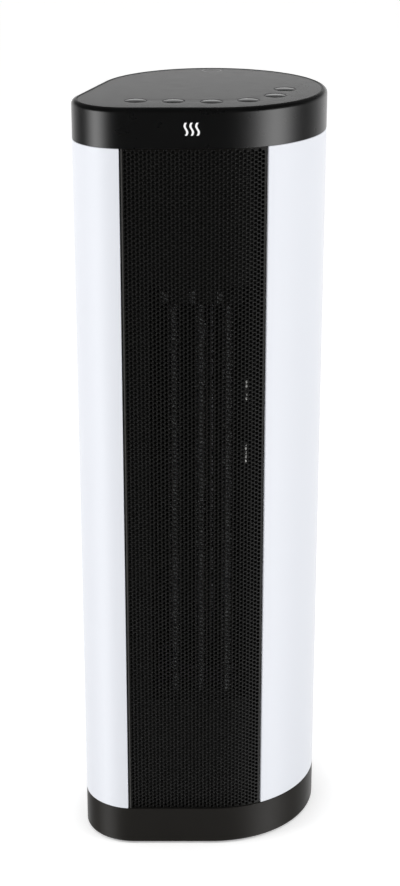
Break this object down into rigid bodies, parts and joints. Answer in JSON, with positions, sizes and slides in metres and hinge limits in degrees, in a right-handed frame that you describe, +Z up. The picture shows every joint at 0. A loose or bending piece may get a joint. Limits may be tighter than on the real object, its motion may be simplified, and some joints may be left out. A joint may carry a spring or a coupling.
{
  "type": "ceramic space heater",
  "caption": "Tower ceramic space heater with a teardrop plan, perforated outlet grille, white side panels, black cap with push buttons and black base.",
  "frame": {"origin": "middle of the footprint box, on the surface the heater stands on", "axes": "+Z up along the tower, +X to the right seen from the front, grille towards -Y"},
  "size_m": [0.1836, 0.168, 0.584],
  "materials": {
    "base_shell": "satin, fine moulded texture",
    "base_cover": "satin, fine moulded texture",
    "ballast_plate": "raw",
    "rubber_foot_1": "matt",
    "rubber_foot_2": "matt",
    "rubber_foot_3": "matt",
    "rubber_foot_4": "matt",
    "base_screws": "zinc plated",
    "tip_switch_housing": "moulded",
    "tip_plunger": "moulded",
    "tip_spring": "drawn wire",
    "left_panel": "white, satin gloss",
    "right_panel": "white, satin gloss",
    "rear_cover": "white, satin gloss",
    "rear_screws": "zinc plated",
    "front_grille": "perforated sheet, satin black paint",
    "front_frame": "moulded black",
    "service_panel": "moulded black",
    "rocker_housing": "moulded black",
    "rocker": "moulded black",
    "cord_gland": "matt",
    "lower_chassis": "galvanised sheet",
    "upper_chassis": "galvanised sheet",
    "top_deck": "moulded black",
    "cap_screws": "zinc plated",
    "top_cap": "high gloss black",
    "control_panel": "high gloss black",
    "control_button_1": "gloss black, dished",
    "control_button_2": "gloss black, dished",
    "control_button_3": "gloss black, dished",
    "control_button_4": "gloss black, dished",
    "control_button_5": "gloss black, dished",
    "control_button_6": "gloss black, dished",
    "control_board": "green board",
    "tact_switches": "moulded",
    "heater_frame": "galvanised sheet",
    "heater_carrier_top": "heat resistant moulding",
    "heater_carrier_bottom": "heat resistant moulding",
    "heating_bar_1": "bare fins",
    "heating_bar_2": "bare fins",
    "heating_bar_3": "bare fins",
    "heater_terminals": "tinned",
    "thermal_cutout": "unglazed",
    "heater_lead": "black silicone",
    "lead_sleeves": "white silicone",
    "blower_housing": "moulded",
    "blower_bottom_plate": "galvanised sheet",
    "blower_top_plate": "galvanised sheet",
    "blower_wheel": "moulded",
    "blower_shaft": "ground",
    "bearing_bush": "sintered",
    "bush_grommet": "matt",
    "motor_can": "zinc plated",
    "motor_end_cap": "zinc plated",
    "motor_stator": "laminated steel",
    "motor_rotor": "laminated steel",
    "power_board": "green board",
    "power_relays": "moulded",
    "board_standoffs": "turned"
  },
  "bodies": {
    "body": {"base_shell": "base_shell", "base_cover": "base_cover", "ballast_plate": "ballast_plate", "rubber_foot_1": "rubber_foot_1", "rubber_foot_2": "rubber_foot_2", "rubber_foot_3": "rubber_foot_3", "rubber_foot_4": "rubber_foot_4", "base_screws": "base_screws", "tip_switch_housing": "tip_switch_housing", "tip_spring": "tip_spring", "left_panel": "left_panel", "right_panel": "right_panel", "rear_cover": "rear_cover", "rear_screws": "rear_screws", "front_grille": "front_grille", "front_frame": "front_frame", "service_panel": "service_panel", "rocker_housing": "rocker_housing", "cord_gland": "cord_gland", "lower_chassis": "lower_chassis", "upper_chassis": "upper_chassis", "top_deck": "top_deck", "cap_screws": "cap_screws", "top_cap": "top_cap", "control_panel": "control_panel", "control_board": "control_board", "tact_switches": "tact_switches", "heater_frame": "heater_frame", "heater_carrier_top": "heater_carrier_top", "heater_carrier_bottom": "heater_carrier_bottom", "heating_bar_1": "heating_bar_1", "heating_bar_2": "heating_bar_2", "heating_bar_3": "heating_bar_3", "heater_terminals": "heater_terminals", "thermal_cutout": "thermal_cutout", "heater_lead": "heater_lead", "lead_sleeves": "lead_sleeves", "blower_housing": "blower_housing", "blower_bottom_plate": "blower_bottom_plate", "blower_top_plate": "blower_top_plate", "bearing_bush": "bearing_bush", "bush_grommet": "bush_grommet", "motor_can": "motor_can", "motor_end_cap": "motor_end_cap", "motor_stator": "motor_stator", "power_board": "power_board", "power_relays": "power_relays", "board_standoffs": "board_standoffs"},
    "tip_plunger": {"tip_plunger": "tip_plunger"},
    "rocker": {"rocker": "rocker"},
    "rotor": {"blower_wheel": "blower_wheel", "blower_shaft": "blower_shaft", "motor_rotor": "motor_rotor"},
    "button_1": {"control_button_1": "control_button_1"},
    "button_2": {"control_button_2": "control_button_2"},
    "button_3": {"control_button_3": "control_button_3"},
    "button_4": {"control_button_4": "control_button_4"},
    "button_5": {"control_button_5": "control_button_5"},
    "button_6": {"control_button_6": "control_button_6"}
  },
  "joints": [
    {"name": "tip_plunger_slide", "type": "slide", "parent": "body", "child": "tip_plunger", "axis": [0, 0, 1], "range_m": [-0.005, 0], "stiffness_N_per_m": 60, "springref_m": -0.006},
    {"name": "rocker_tilt", "type": "hinge", "parent": "body", "child": "rocker", "pos_m": [-0.00425, 0.0715, 0.074], "axis": [1, 0, 0], "range_deg": [0, 16]},
    {"name": "blower_spin", "type": "hinge", "parent": "body", "child": "rotor", "pos_m": [0.006, 0.002, 0.289], "axis": [0, 0, 1], "continuous": true},
    {"name": "button_1_press", "type": "slide", "parent": "body", "child": "button_1", "axis": [0, 0, -1], "range_m": [0, 0.0009], "stiffness_N_per_m": 500, "springref_m": -0.0006},
    {"name": "button_2_press", "type": "slide", "parent": "body", "child": "button_2", "axis": [0, 0, -1], "range_m": [0, 0.0009], "stiffness_N_per_m": 500, "springref_m": -0.0006},
    {"name": "button_3_press", "type": "slide", "parent": "body", "child": "button_3", "axis": [0, 0, -1], "range_m": [0, 0.0009], "stiffness_N_per_m": 500, "springref_m": -0.0006},
    {"name": "button_4_press", "type": "slide", "parent": "body", "child": "button_4", "axis": [0, 0, -1], "range_m": [0, 0.0009], "stiffness_N_per_m": 500, "springref_m": -0.0006},
    {"name": "button_5_press", "type": "slide", "parent": "body", "child": "button_5", "axis": [0, 0, -1], "range_m": [0, 0.0009], "stiffness_N_per_m": 500, "springref_m": -0.0006},
    {"name": "button_6_press", "type": "slide", "parent": "body", "child": "button_6", "axis": [0, 0, -1], "range_m": [0, 0.0009], "stiffness_N_per_m": 500, "springref_m": -0.0006}
  ]
}
